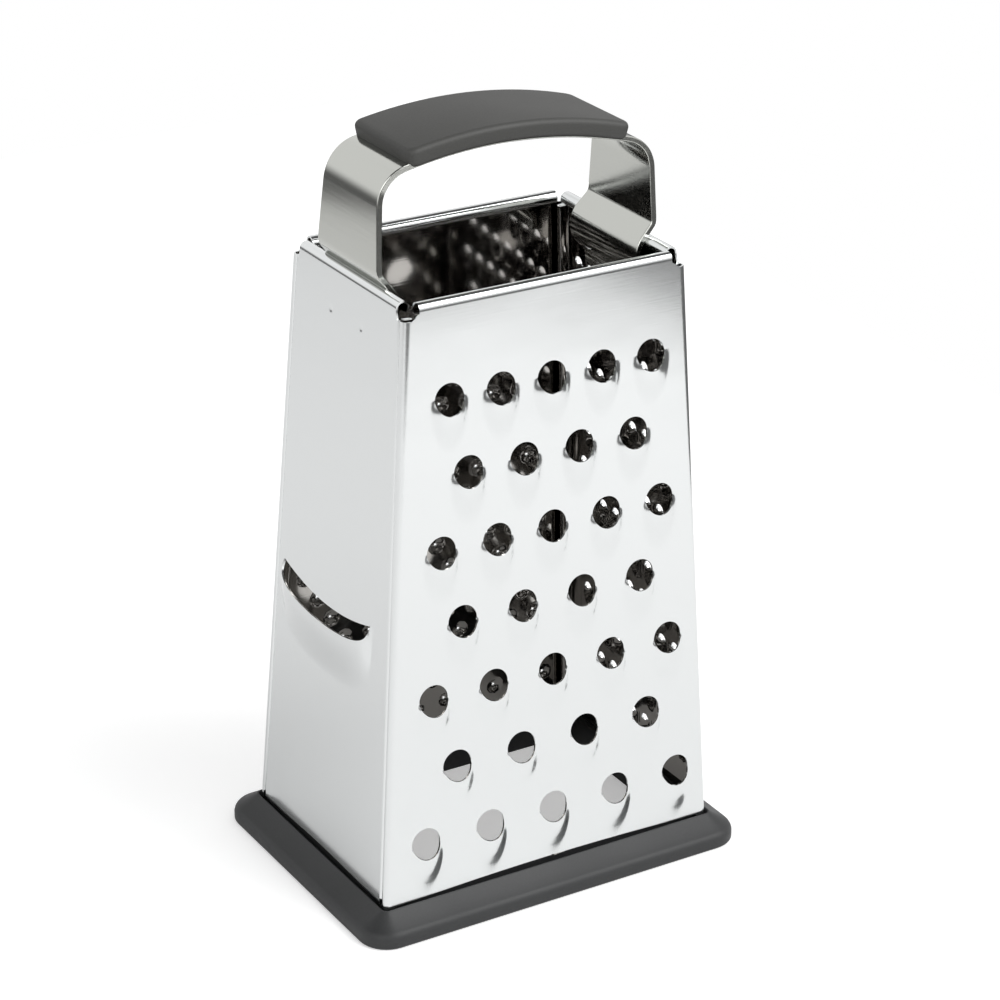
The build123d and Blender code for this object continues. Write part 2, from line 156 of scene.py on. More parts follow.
class HandleSizes(PropertyGroup):
    """The strap handle and its soft grip."""

    strap_thickness: length("Strap thickness", "Thickness of the strip", 1.8)
    strap_top_width: length("Strap top width", "Width of the strip under the grip", 29.4)
    strap_foot_width: length("Strap foot width", "Width of the strip at the rim", 35.0)
    strap_top: length("Strap top", "Height of the top of the strip", 224.6)
    arch_sag: length("Arch sag", "Fall of the strip from its middle to the arch's ends", 4.3)
    arch_half: length("Arch half length", "From the middle to the end of the arch", 34.5)
    shoulder_inset: length("Shoulder inset", "From the body's side in to the strip's shoulder", 1.0)
    shoulder_bend: length("Shoulder bend", "Outside radius of the shoulder", 11.5)
    kink_height: length("Kink height", "Height where the strip turns in over the rim", 190.9)
    kink_bend: length("Kink bend", "Outside radius of the turn over the rim", 4.0)
    throat_height: length("Throat height", "Height of the strip's innermost bend", 181.0)
    throat_inset: length("Throat inset", "From the body's side in to the innermost bend", 8.0)
    throat_bend: length("Throat bend", "Radius of the innermost bend", 7.0)
    tab_height: length("Tab height", "Height where the tab meets the wall", 173.5)
    tab_bend: length("Tab bend", "Radius of the bend above the tab", 8.0)
    tab_foot: length("Tab foot", "Height of the tab's lower edge", 168.0)
    weld_gap: length("Weld gap", "Clearance between the tab and the wall", 0.05)
    strap_edge: length("Strap edge", "Rounding of the strip's edges", 0.35)
    lean_from: length("Lean from", "Height above which the handle leans a little", 187.0)
    lean_rise: length("Lean rise", "Height over which the lean grows to its full size", 33.5)
    lean_sink: length("Lean sink", "How far the leaning arch sinks in the middle", 1.4)
    lean_side: FloatProperty(
        name="Lean to the side", description="Sideways lean of the legs, as a slope", default=0.026)
    lean_tilt: FloatProperty(
        name="Tilt of the arch", description="Fall of the arch to the right, as a slope",
        default=0.045)
    grip_corner: length("Grip corner", "Rounding of the grip's upright corners", 2.8)
    grip_edge: length("Grip edge", "Rounding of the grip's other edges", 1.7)


class RingSizes(PropertyGroup):
    """The rubber ring under the body."""

    flare: length("Flare", "How far the ring stands out from the sheet", 8.2)
    height: length("Height", "Height of the ring's outer lip", 8.8)
    shoulder_height: length("Shoulder height", "Height where the flank turns in", 4.2)
    corner: length("Corner", "Radius of the outer corners", 9.0)
    lip_gap: length("Lip gap", "From the sheet out to the lip", 0.7)
    groove_floor: length("Groove floor", "Height of the floor of the groove", 6.3)
    inner_gap: length("Inner gap", "From the sheet in to the inner lip", 0.7)
    inner_lip: length("Inner lip", "Thickness of the inner lip", 2.6)
    inner_height: length("Inner height", "Height of the inner lip", 9.8)
    inner_corner: length("Inner corner", "Radius of the inside corners", 4.0)


class Finishes(PropertyGroup):
    """Colours of the materials, and the camera."""

    sheet_colour: colour("Sheet colour", "Bright rolled stainless sheet", "#E1E3E3")
    # The inside colour is the sheet's own steel made darker: painted shade of the grater's interior
    inside_colour: colour("Inside colour", "Sheet's inside, darkened as painted shade", "#AFACA8")
    strap_colour: colour("Strap colour", "Polished stainless strip", "#C2C3BE")
    grip_colour: colour("Grip colour", "Soft-touch grip", "#40403E")
    ring_colour: colour("Ring colour", "Rubber base ring", "#28292A")
    camera_place: FloatVectorProperty(
        name="Camera place", description="Where the camera stands",
        default=(-430.4 * MM, -707.2 * MM, 487.5 * MM), size=3, subtype="TRANSLATION",
        unit="LENGTH")
    camera_target: FloatVectorProperty(
        name="Camera target", description="The point in the middle of the picture",
        default=(4.9 * MM, 0.0, 107.8 * MM), size=3, subtype="TRANSLATION",
        unit="LENGTH")
    camera_lens: FloatProperty(
        name="Lens", description="Focal length on a 36 mm sensor, in millimetres", default=113.4)
    camera_roll: FloatProperty(
        name="Roll", description="Turn of the camera about its own axis",
        default=math.radians(0.74), subtype="ANGLE", unit="ROTATION")


# Shape of the body

def body_sizes():
    """The sizes of the sheet body."""
    return bpy.context.scene.grater_body


def half_out(base, notch, height):
    """Half an outside size at a height, from its values at the base height and the notches."""
    s = body_sizes()
    lean = (base - notch) / 2 / (s.notch_height - s.base_height)
    return notch / 2 + lean * (s.notch_height - height)


def half_width(height):
    """Half the outside width of the body at a height."""
    return half_out(body_sizes().base_width, body_sizes().notch_width, height)


def half_depth(height):
    """Half the outside depth of the body at a height."""
    return half_out(body_sizes().base_depth, body_sizes().notch_depth, height)


class Side:
    """One face of the body, laid flat on the bench: x along the face, y up it and z outward."""

    def __init__(self, turn, half_deep, half_across):
        self.half_across = half_across
        # How far the face leans in for each unit of height
        self.lean = half_deep(0) - half_deep(1)
        self.slope = math.hypot(1, self.lean)
        along = Matrix.Rotation(turn, 3, "Z") @ Vector((1, 0, 0))
        inward = Matrix.Rotation(turn, 3, "Z") @ Vector((0, 1, 0))
        up = (Vector((0, 0, 1)) + inward * self.lean) / self.slope
        outward = along.cross(up)
        place = Matrix((along, up, outward)).transposed().to_4x4()
        place.translation = inward * -half_deep(0)
        self.place = place

    def climb(self, height):
        """Distance up the leaning face for a height above the floor."""
        return height * self.slope

    def roll_start(self):
        """Height where the flat sheet ends and the rolled rim begins."""
        radius = body_sizes().roll_radius
        return RIM_TOP - radius + radius * self.lean / self.slope

    def flat_top(self):
        """Height of the top edge of the flat part, just below the rolled rim."""
        return self.roll_start() - GUARD

    def roll_half(self):
        """Half the length of the rolled rim."""
        return self.half_across(self.roll_start()) - body_sizes().roll_setback


def sides():
    """The four faces by name."""
    quarter = math.pi / 2
    return {
        "coarse": Side(0, half_depth, half_width),
        "right": Side(quarter, half_width, half_depth),
        "back": Side(2 * quarter, half_depth, half_width),
        "slicer": Side(-quarter, half_width, half_depth),
    }


# Modelling helpers

def edit(obj, mode="VERT", action=None):
    """Enter edit mode on a piece. What is selected stays so, unless an action for all is given."""
    choose(obj)
    bpy.ops.object.mode_set(mode="EDIT")
    bpy.ops.mesh.select_mode(type=mode)
    if action:
        bpy.ops.mesh.select_all(action=action)


def leave():
    """Back to object mode."""
    bpy.ops.object.mode_set(mode="OBJECT")


def clear_selection():
    """Nothing selected and nothing active."""
    bpy.ops.object.select_all(action="DESELECT")
    bpy.context.view_layer.objects.active = None


def choose(obj, *others):
    """Select these objects, with the first one active."""
    bpy.ops.object.select_all(action="DESELECT")
    for each in (obj, *others):
        each.select_set(True)
    bpy.context.view_layer.objects.active = obj


def pick_vertices(obj, wanted):
    """Select the vertices that pass a test, and nothing else, from object mode."""
    mesh = obj.data
    for part in (mesh.vertices, mesh.edges, mesh.polygons):
        part.foreach_set("select", [False] * len(part))
    for vertex in mesh.vertices:
        vertex.select = wanted(vertex)


def pick_edges(obj, wanted):
    """Select the edges whose both ends pass a test, and nothing else, from object mode."""
    mesh = obj.data
    pick_vertices(obj, lambda vertex: False)
    for edge in mesh.edges:
        ends = [mesh.vertices[i] for i in edge.vertices]
        if all(wanted(end) for end in ends):
            for part in (edge, *ends):
                part.select = True


def loop_on(points, name):
    """A closed loop of edges through these points, made from a circle."""
    clear_selection()
    bpy.ops.mesh.primitive_circle_add(vertices=len(points), radius=MM, fill_type="NOTHING")
    obj = bpy.context.object
    obj.name = name
    for vertex, place in zip(obj.data.vertices, points):
        vertex.co = place
    return obj


def carry_loop(obj, points):
    """Extrude the loop made last, and lay the new loop on these points."""
    total = len(obj.data.vertices)
    pick_edges(obj, lambda vertex: vertex.index >= total - len(points))
    edit(obj, "EDGE")
    bpy.ops.mesh.extrude_edges_move()
    leave()
    for vertex, place in zip(obj.data.vertices[total:], points):
        vertex.co = place


def join(obj, others):
    """Join pieces into the first one."""
    choose(obj, *others)
    bpy.ops.object.join()


class Brake:
    """Carries the selected edge of a sheet on, as a press brake does: straight runs and bends."""

    def __init__(self, start, heading, axis):
        self.at = Vector(start)
        self.heading = Vector(heading).normalized()
        self.axis = Vector(axis).normalized()

    def run(self, distance):
        """A straight run of this length."""
        self.at = self.at + self.heading * distance
        bpy.ops.mesh.extrude_edges_move(TRANSFORM_OT_translate={"value": self.heading * distance})

    def bend(self, degrees, radius, steps):
        """A bend about the sheet's axis, with this radius on the side of the given surface."""
        toward = self.axis.cross(self.heading) * math.copysign(1, degrees)
        centre = self.at + toward * radius
        turn = Matrix.Rotation(math.radians(degrees), 3, self.axis)
        bpy.ops.mesh.spin(steps=steps, angle=-math.radians(degrees), center=centre, axis=self.axis)
        self.at = centre + turn @ (self.at - centre)
        self.heading = turn @ self.heading


def add_modifier(obj, kind, **settings):
    """Add a modifier with its settings and apply it."""
    choose(obj)
    modifier = obj.modifiers.new(kind.title(), kind)
    for key, value in settings.items():
        setattr(modifier, key, value)
    bpy.ops.object.modifier_apply(modifier=modifier.name)


def smooth(obj, degrees=32):
    """Smooth shading, with edges sharper than this angle left sharp."""
    choose(obj)
    bpy.ops.object.shade_smooth_by_angle(angle=math.radians(degrees))


def tidy_mesh(obj, distance=CLOSE / 5):
    """Merge doubles and turn all faces outward."""
    edit(obj, action="SELECT")
    bpy.ops.mesh.remove_doubles(threshold=distance)
    bpy.ops.mesh.normals_make_consistent(inside=False)
    leave()


def tidy_flat(sheet):
    """Merge doubles, and turn the outer side of a sheet that was made flat up the z axis."""
    tidy_mesh(sheet, CLOSE / 2)
    if sum(face.normal.z * face.area for face in sheet.data.polygons) < 0:
        edit(sheet, action="SELECT")
        bpy.ops.mesh.flip_normals()
        leave()


def finish_piece(obj, name, slot, node, *materials):
    """Name a piece, give it its materials and tie it to the frame."""
    obj.name = name
    obj.data.name = name
    for material in materials:
        obj.data.materials.append(material)
    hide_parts(node)
    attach(obj, BODY)
    clear_selection()


# Punched sheet

# Where a punch has its loops, as shares of the way from the cut edge to the border
FINE_LOOPS = (0.0, 0.12, 0.3, 0.5, 0.7, 0.86, 1.0)
# A narrow flat strip beside each bend and border, which keeps the shading of the flat sheet even
GUARD = 0.35 * MM
# Turn of the rolled rim, in degrees
ROLL_WRAP = 235
# Spot welds of the strap: a dent's radius and depth, and the share of it that is flat
DENT = 1.3 * MM
DENT_DEPTH = 0.12 * MM
DENT_FLOOR = 0.2


def circle(radius):
    """The points of a circle by angle, from straight down and on to the right."""
    return lambda angle: (radius * math.sin(angle), -radius * math.cos(angle))


def punch(name, segments, mouth, border, lift, loops=FINE_LOOPS):
    """A punched place in the sheet: loops from the cut edge out to the flat border round it.

    Mouth and border give a point (x, y) for an angle, lift a height for angle, share, x and y.
    """
    angles = [2 * math.pi * i / segments for i in range(segments)]

    def ring(share):
        points = []
        for angle in angles:
            place = Vector((*mouth(angle), 0)).lerp(Vector((*border(angle), 0)), share)
            place.z = lift(angle, share, place.x, place.y) if share < 1 else 0
            points.append(place)
        return points

    obj = loop_on(ring(loops[0]), name)
    for share in loops[1:]:
        carry_loop(obj, ring(share))
    flat = ring(1.0)
    guard = []
    for i, place in enumerate(flat):
        line = flat[(i + 1) % segments] - flat[i - 1]
        guard.append(place + Vector((line.y, -line.x, 0)).normalized() * GUARD)
    carry_loop(obj, guard)
    obj["segments"] = segments
    return obj


def outline_loop(obj):
    """Points of the last loop of a punched place, which is its border in the sheet."""
    return [v.co.copy() for v in obj.data.vertices[-obj["segments"]:]]


def flat_outline(side, inset, foot):
    """Corner points of the flat part of a face, from the lower left, anticlockwise."""
    s = body_sizes()
    start = side.flat_top()
    inner = side.roll_half()

    def edge(height):
        return side.half_across(height) - inset

    arch_steps = 12
    half = edge(s.edge_height) - s.corner_bend
    arch = []
    for i in range(arch_steps + 1):
        across = 2 * i / arch_steps - 1
        arch.append((across * half, s.edge_height + s.edge_arch * (1 - across * across)))
    right = [(edge(level), level) for level in (foot, s.flute_foot, s.notch_height)]
    right += [(inner, start - s.roll_radius / 4), (inner, start)]
    left = [(-x, level) for x, level in reversed(right)]
    points = [left[-1], *arch, *right, *left[:-1]]
    return [Vector((x, side.climb(level), 0)) for x, level in points]


def punched_sheet(side, inset, foot, tiles):
    """The flat part of a face, filled round the punched places."""
    sheet = loop_on(flat_outline(side, inset, foot), "flat_sheet")
    join(sheet, [loop_on(outline_loop(tile), "hole") for tile in tiles])
    edit(sheet, "EDGE", "SELECT")
    bpy.ops.mesh.fill(use_beauty=True)
    leave()
    join(sheet, tiles)
    tidy_flat(sheet)
    return sheet


def fold_edges(sheet, side, inset, foot_height, fold):
    """Fold both upright edges of a flat face on the press brake."""
    top = body_sizes().notch_height
    for way in (-1, 1):
        foot, head = (
            Vector((way * (side.half_across(height) - inset), side.climb(height), 0))
            for height in (foot_height, top))
        axis = (head - foot).normalized()
        reach = (head - foot).length

        def on_edge(vertex):
            along = (vertex.co - foot).dot(axis)
            off = (vertex.co - foot - axis * along).length
            return off < CLOSE and -MM < along < reach + CLOSE

        pick_edges(sheet, on_edge)
        edit(sheet, "EDGE")
        fold(Brake(foot, axis.cross(Vector((0, 0, 1))) * way, axis), way)
        leave()


def fold_wide(brake, way):
    """Folds of a wide face: the corner, a narrow strip, the seam fold and its hook."""
    s = body_sizes()
    brake.run(GUARD)
    brake.bend(90 * way, s.corner_bend, steps=7)
    brake.run(s.seam_setback - s.corner_bend - s.seam_bend)
    brake.bend(90 * way, s.seam_bend, steps=4)
    brake.run(s.flute_depth - s.seam_bend)
    brake.bend(-180 * way, s.sheet / 2 + s.seam_gap, steps=6)
    brake.run(s.hook)


def fold_narrow(brake, way):
    """Folds of a narrow face: one flange that stands in the seam."""
    s = body_sizes()
    brake.run(GUARD)
    brake.bend(90 * way, s.narrow_bend, steps=5)
    brake.run(s.flute_depth - s.narrow_bend)


def roll_rim(sheet, side):
    """Roll the top edge of a flat face over and down inside."""
    level = side.climb(side.flat_top())
    reach = side.roll_half() + CLOSE
    pick_edges(sheet, lambda vertex: abs(vertex.co.y - level) < CLOSE and abs(vertex.co.x) < reach)
    edit(sheet, "EDGE")
    brake = Brake((0, level, 0), (0, 1, 0), (1, 0, 0))
    brake.run(side.climb(GUARD))
    brake.bend(-ROLL_WRAP, body_sizes().roll_radius, steps=20)
    leave()


def trim_seams(sheet, side, depth):
    """Cut the folds short above the base ring: all that lies deeper than this in the body."""
    level = side.climb(body_sizes().flute_foot)
    pick_vertices(sheet, lambda vertex: False)
    for face in sheet.data.polygons:
        face.select = face.center.y < level and face.center.z < depth
    edit(sheet, "FACE")
    bpy.ops.mesh.delete(type="FACE")
    leave()


def sheet_face(side_name, node, tiles, wide):
    """A whole face of the body: punched, folded, rolled, given its thickness and stood up."""
    s = body_sizes()
    side = sides()[side_name]
    if wide:
        foot, fold, depth = s.tip_height, fold_wide, s.seam_bend - s.seam_setback
        inset = s.corner_bend + GUARD
    else:
        foot, fold, depth = s.edge_height, fold_narrow, -CLOSE
        inset = s.seam_setback + s.seam_gap + s.narrow_bend + GUARD
    sheet = punched_sheet(side, inset, foot, tiles)
    fold_edges(sheet, side, inset, foot, fold)
    trim_seams(sheet, side, depth)
    roll_rim(sheet, side)
    sheet.data.materials.clear()
    for material in sheet_metals():
        sheet.data.materials.append(material)
    add_modifier(
        sheet, "SOLIDIFY", thickness=s.sheet, offset=-1.0, use_even_offset=True, material_offset=1)
    sheet.data.transform(side.place)
    sheet.data.update()
    smooth(sheet)
    finish_piece(sheet, side_name + "_face", "sheet_steel", node)


def dimple():
    """A spot weld's little round dent."""
    dent = punch(
        "weld_dent", 14, circle(DENT_FLOOR * DENT), circle(DENT),
        lambda angle, share, across, up: -DENT_DEPTH * math.cos(share * math.pi / 2),
        (0, 0.3, 0.6, 1),
    )
    pick_vertices(dent, lambda vertex: vertex.co.xy.length < DENT / 4)
    edit(dent)
    bpy.ops.mesh.edge_face_add()
    leave()
    return dent


def spread(tile, places):
    """Copies of a punched place, each with its own mesh; the pattern itself is removed."""
    copies = []
    for x, y in places:
        twin = tile.copy()
        twin.data = tile.data.copy()
        twin.data.transform(Matrix.Translation((x, y, 0)))
        bpy.context.scene.collection.objects.link(twin)
        copies.append(twin)
    bpy.data.objects.remove(tile)
    return copies


def welds(side, *places):
    """The spot welds of the strap on a narrow face, at these places across it in millimetres."""
    level = side.climb(bpy.context.scene.grater_punch.weld_height)
    return spread(dimple(), [(x * MM, level) for x in places])


def coarse_places(side):
    """Hole centres of the coarse face."""
    p = bpy.context.scene.grater_punch
    places = []
    for row in range(p.coarse_rows):
        height = p.coarse_low + (p.coarse_rows - 1 - row) * p.coarse_pitch
        pitch = p.coarse_top_pitch + p.coarse_growth * ((row + 1) // 2)
        columns = p.coarse_columns - row % 2
        for column in range(columns):
            across = (column - (columns - 1) / 2) * pitch + p.coarse_shift
            places.append((across, side.climb(height)))
    return places


def staggered(side, low, high, pitch, row_height, margin):
    """Points in staggered rows between two heights, clear of the margins at both sides."""
    places = []
    for row in range(int((high - low) / row_height) + 1):
        height = low + row * row_height
        shift = pitch / 2 * (row % 2)
        count = int((side.half_across(height) - margin - shift) / pitch)
        for column in range(-count - row % 2, count + 1):
            places.append((column * pitch + shift, side.climb(height)))
    return places


class GRATER_OT_coarse(Operator):
    """Make the coarse face: round holes over raised scoops"""

    bl_idname = "grater.coarse"
    bl_label = "Coarse face"

    def execute(self, context):
        p = context.scene.grater_punch
        radius = p.coarse_hole / 2
        wide = radius + p.coarse_side
        head = radius + 0.6 * MM
        # Powers below 1 make a curve fuller, and powers above 1 make it slimmer
        shoulder, edge_fall, scoop_fall = 0.9, 1.1, 2

        def border(angle):
            across, down = math.sin(angle), math.cos(angle)
            if down > 0:
                full = math.copysign(abs(across) ** shoulder, across)
                return wide * full, -p.coarse_tail * down
            return wide * across, -head * down

        def height(angle, share, across, up):
            edge = max(0.0, math.cos(angle)) ** edge_fall
            return p.coarse_lift * edge * math.cos(share * math.pi / 2) ** scoop_fall

        tile = punch("coarse_tooth", 40, circle(radius), border, height)
        places = coarse_places(sides()["coarse"])
        sheet_face("coarse", "coarse_panel", spread(tile, places), wide=True)
        return {"FINISHED"}


class GRATER_OT_back(Operator):
    """Make the back face: rows of raised points, each torn open at its tip"""

    bl_idname = "grater.back"
    bl_label = "Back face"

    def execute(self, context):
        p = context.scene.grater_punch
        # The tip is torn into five petals, which reach in to half of the opening's radius
        petals, torn_in, point_fall = 5, 0.5, 1.3

        def mouth(angle):
            torn = p.point_hole / 2 * (1 if math.cos(petals * angle) > 0 else torn_in)
            return torn * math.sin(angle), -torn * math.cos(angle)

        def height(angle, share, across, up):
            return p.point_lift * math.cos(share * math.pi / 2) ** point_fall

        tile = punch("raised_point", 10, mouth, circle(p.point_rim), height, (0, 0.25, 0.6, 1))
        places = staggered(
            sides()["back"], p.point_low, p.point_high, p.point_pitch, p.point_row, p.point_margin)
        sheet_face("back", "shred_panel", spread(tile, places), wide=True)
        return {"FINISHED"}


class GRATER_OT_slicer(Operator):
    """Make the slicing face: one long sagging mouth over a wide shallow scoop"""

    bl_idname = "grater.slicer"
    bl_label = "Slicing face"

    def execute(self, context):
        p = context.scene.grater_punch
        side = sides()["slicer"]
        half = p.slicer_half
        scoop_half = half + 1.6 * MM
        border_rise = MM
        # Powers below 1 make the ends of the mouth and its scoop blunter
        mouth_end, scoop_end, scoop_side, edge_end, scoop_fall = 0.55, 0.45, 0.75, 0.6, 1.6

        def mouth(angle):
            across, down = math.sin(angle), math.cos(angle)
            sag = p.slicer_lower * down ** mouth_end if down > 0 else p.slicer_upper * down ** 2
            return half * across, -sag

        def border(angle):
            across, down = math.sin(angle), math.cos(angle)
            if down > 0:
                wide = math.copysign(abs(across) ** scoop_side, across)
                return scoop_half * wide, -p.slicer_tail * down ** scoop_end
            out = scoop_half * across
            return out, border_rise * down ** 2 - p.slicer_upper * (1 - (out / half) ** 2)

        def height(angle, share, across, up):
            edge = max(0.0, math.cos(angle)) ** edge_end
            return p.slicer_lift * edge * math.cos(share * math.pi / 2) ** scoop_fall

        tile = punch("slicer_mouth", 128, mouth, border, height)
        tiles = spread(tile, [(-p.slicer_offset, side.climb(p.slicer_height))])
        tiles += welds(side, -8.1, 9)
        sheet_face("slicer", "slicer_panel", tiles, wide=False)
        return {"FINISHED"}


class GRATER_OT_right(Operator):
    """Make the right face: small round holes over scooped teeth, in staggered rows"""

    bl_idname = "grater.right"
    bl_label = "Right face"

    def execute(self, context):
        p = context.scene.grater_punch
        side = sides()["right"]
        radius, rim, tail = p.tooth_hole / 2, p.tooth_rim, p.tooth_tail
        # The tooth rises over this share of the hole's radius; the powers make it slimmer
        onset_share, tail_fall, crown_fall = 0.7, 1.2, 1.15

        def border(angle):
            reach = tail if math.cos(angle) > 0 else rim
            return rim * math.sin(angle), -reach * math.cos(angle)

        def height(angle, share, across, up):
            down = -up
            if down <= 0:
                return 0.0
            half = rim * math.sqrt(max(0.0, 1 - (down / tail) ** 2))
            crown = max(0.0, 1 - (across / half) ** 2) if half > 0 else 0.0
            onset = min(1.0, down / (onset_share * radius))
            fall = math.cos(math.pi / 2 * max(0.0, down - radius) / (tail - radius)) ** tail_fall
            return p.tooth_lift * onset * fall * crown ** crown_fall

        tile = punch("scooped_tooth", 16, circle(radius), border, height, (0, 0.35, 0.7, 1))
        places = staggered(
            side, p.tooth_low, p.tooth_high, p.tooth_pitch, p.tooth_row, p.tooth_margin)
        tiles = spread(tile, places) + welds(side, -9, 9)
        sheet_face("right", "zest_panel", tiles, wide=False)
        return {"FINISHED"}


# Handle

# Degrees between two edges of a bend of the strip
BEND_STEP = 5


def strap_line():
    """Radius of the arch, corners of the strip's outer surface beside it, and their radii."""
    b = body_sizes()
    h = bpy.context.scene.grater_handle
    side = b.notch_width / 2
    reach = (h.arch_half ** 2 + h.arch_sag ** 2) / (2 * h.arch_sag)
    fall = h.arch_half / math.sqrt(reach ** 2 - h.arch_half ** 2)
    arch_end = h.strap_top - h.arch_sag
    shoulder = side - h.shoulder_inset

    def wall(height):
        return half_width(height) - b.sheet - h.weld_gap

    points = [
        (h.arch_half, arch_end),
        (shoulder, arch_end - (shoulder - h.arch_half) * fall),
        (side, h.kink_height),
        (side - h.throat_inset, h.throat_height),
        (wall(h.tab_height), h.tab_height),
        (wall(h.tab_foot), h.tab_foot),
    ]
    radii = [0, h.shoulder_bend, h.kink_bend, h.throat_bend, h.tab_bend, 0]
    return reach, [Vector(point) for point in points], radii


def lean_handle(obj):
    """Lean the handle a little over the rim, most at the top, as the photograph shows."""
    h = bpy.context.scene.grater_handle
    for vertex in obj.data.vertices:
        above = vertex.co.z - h.lean_from
        if above > 0:
            share = min(1.0, above / h.lean_rise)
            vertex.co.z -= (h.lean_sink + h.lean_tilt * vertex.co.x) * share
            vertex.co.x += h.lean_side * above
    obj.data.update()


class GRATER_OT_strap(Operator):
    """Make the strap handle: one strip bent over the top and in over each rim"""

    bl_idname = "grater.strap"
    bl_label = "Strap handle"

    def execute(self, context):
        h = context.scene.grater_handle
        reach, points, radii = strap_line()
        trims, turns = [0.0], [0.0]
        for before, corner, after, radius in zip(points, points[1:], points[2:], radii[1:]):
            turn = (corner - before).angle_signed(after - corner)
            turns.append(math.degrees(turn))
            trims.append(radius * math.tan(abs(turn) / 2))
        trims.append(0.0)
        turns.append(0.0)
        # The strip starts as a narrow piece across the middle, and both its ends are carried on
        middle = 0.4 * MM
        clear_selection()
        bpy.ops.mesh.primitive_plane_add(size=1, location=(0, 0, 0))
        strap = context.object
        for vertex in strap.data.vertices:
            vertex.co.x *= middle
            vertex.co.y *= h.strap_top_width
            vertex.co.z = h.strap_top
        arch = math.degrees(math.asin((h.arch_half - middle / 2) / reach))
        for way in (-1, 1):
            pick_edges(strap, lambda vertex: (
                vertex.co.x * way > middle / 4 and abs(vertex.co.z - h.strap_top) < CLOSE))
            edit(strap, "EDGE")
            brake = Brake((way * middle / 2, 0, h.strap_top), (way, 0, 0), (0, 1, 0))
            brake.bend(way * arch, reach, steps=16)
            for i in range(1, len(points)):
                brake.run((points[i] - points[i - 1]).length - trims[i - 1] - trims[i])
                if turns[i]:
                    steps = max(4, int(abs(turns[i]) / BEND_STEP))
                    brake.bend(way * turns[i], radii[i], steps)
            leave()
        narrow_at = h.strap_top - h.shoulder_bend
        growth = h.strap_foot_width / h.strap_top_width - 1
        for vertex in strap.data.vertices:
            share = (narrow_at - vertex.co.z) / (narrow_at - h.throat_height)
            vertex.co.y *= 1 + growth * min(1.0, max(0.0, share))
        tidy_flat(strap)
        add_modifier(
            strap, "SOLIDIFY", thickness=h.strap_thickness, offset=-1.0, use_even_offset=True)
        add_modifier(
            strap, "BEVEL", width=h.strap_edge, segments=3, limit_method="ANGLE",
            angle_limit=math.radians(60),
        )
        lean_handle(strap)
        smooth(strap, 12)
        finish_piece(strap, "strap", "strap_steel", "handle_strap", strap_metal())
        return {"FINISHED"}


class GRATER_OT_grip(Operator):
    """Make the soft grip, moulded along the arch of the strap"""

    bl_idname = "grater.grip"
    bl_label = "Soft grip"

    def execute(self, context):
        h = context.scene.grater_handle
        reach = strap_line()[0]
        hub = Vector((0, 0, h.strap_top - reach))
        outer = GRIP_HIGH.z - hub.z
        fall = h.strap_top - h.arch_sag - GRIP_LOW.z
        inner = reach - fall
        half_turn = math.asin((GRIP_HIGH.x + MM) / outer)
        start = Matrix.Rotation(-half_turn, 3, "Y")
        half = GRIP_HIGH.y
        section = [(-half, inner), (half, inner), (half, outer), (-half, outer)]
        grip = loop_on([hub + start @ Vector((0, y, r)) for y, r in section], "grip")
        edit(grip, "EDGE", "SELECT")
        bpy.ops.mesh.edge_face_add()
        bpy.ops.mesh.spin(steps=24, angle=-2 * half_turn, center=hub, axis=(0, 1, 0))
        leave()
        tidy_mesh(grip)
        # The four upright corners get the larger rounding, marked by a bevel weight
        near = 0.1 * MM
        ends = abs((hub + start @ Vector((0, 0, inner))).x) - near
        weights = grip.data.attributes.new("bevel_weight_edge", "FLOAT", "EDGE").data
        for edge in grip.data.edges:
            one, two = (grip.data.vertices[i].co for i in edge.vertices)
            upright = abs(one.y - two.y) < near and abs(one.z - two.z) > (outer - inner) / 2
            weights[edge.index].value = float(upright and min(abs(one.x), abs(two.x)) > ends)
        add_modifier(grip, "BEVEL", width=h.grip_corner, segments=8, limit_method="WEIGHT")
        add_modifier(
            grip, "BEVEL", width=h.grip_edge, segments=6, limit_method="ANGLE",
            angle_limit=math.radians(50),
        )
        lean_handle(grip)
        smooth(grip, 40)
        finish_piece(grip, "grip", "soft_grip", "handle_grip", grip_rubber())
        return {"FINISHED"}


# Base ring

def rounded_loop(half_x, half_y, radius, level, arc=9, guard=0.6 * MM):
    """Points of a rectangle with rounded corners, anticlockwise, each corner between guards."""
    points = []
    for sign_x, sign_y, begin in ((1, 1, 0), (-1, 1, 90), (-1, -1, 180), (1, -1, 270)):
        centre = Vector((sign_x * (half_x - radius), sign_y * (half_y - radius), level))
        turns = [
            Matrix.Rotation(math.radians(begin + 90 * i / arc), 3, "Z") @ Vector((1, 0, 0))
            for i in range(arc + 1)]
        first, last = turns[0], turns[-1]
        points.append(centre + first * radius - last * guard)
        points += [centre + turn * radius for turn in turns]
        points.append(centre + last * radius - first * guard)
    return points


def rounding(centre, radius, begin, end, steps):
    """Points (out, up) of an arc in the ring's section, angles in degrees from outward to up."""
    points = []
    for i in range(steps + 1):
        angle = math.radians(begin + (end - begin) * i / steps)
        points.append((centre[0] + radius * math.cos(angle), centre[1] + radius * math.sin(angle)))
    return points


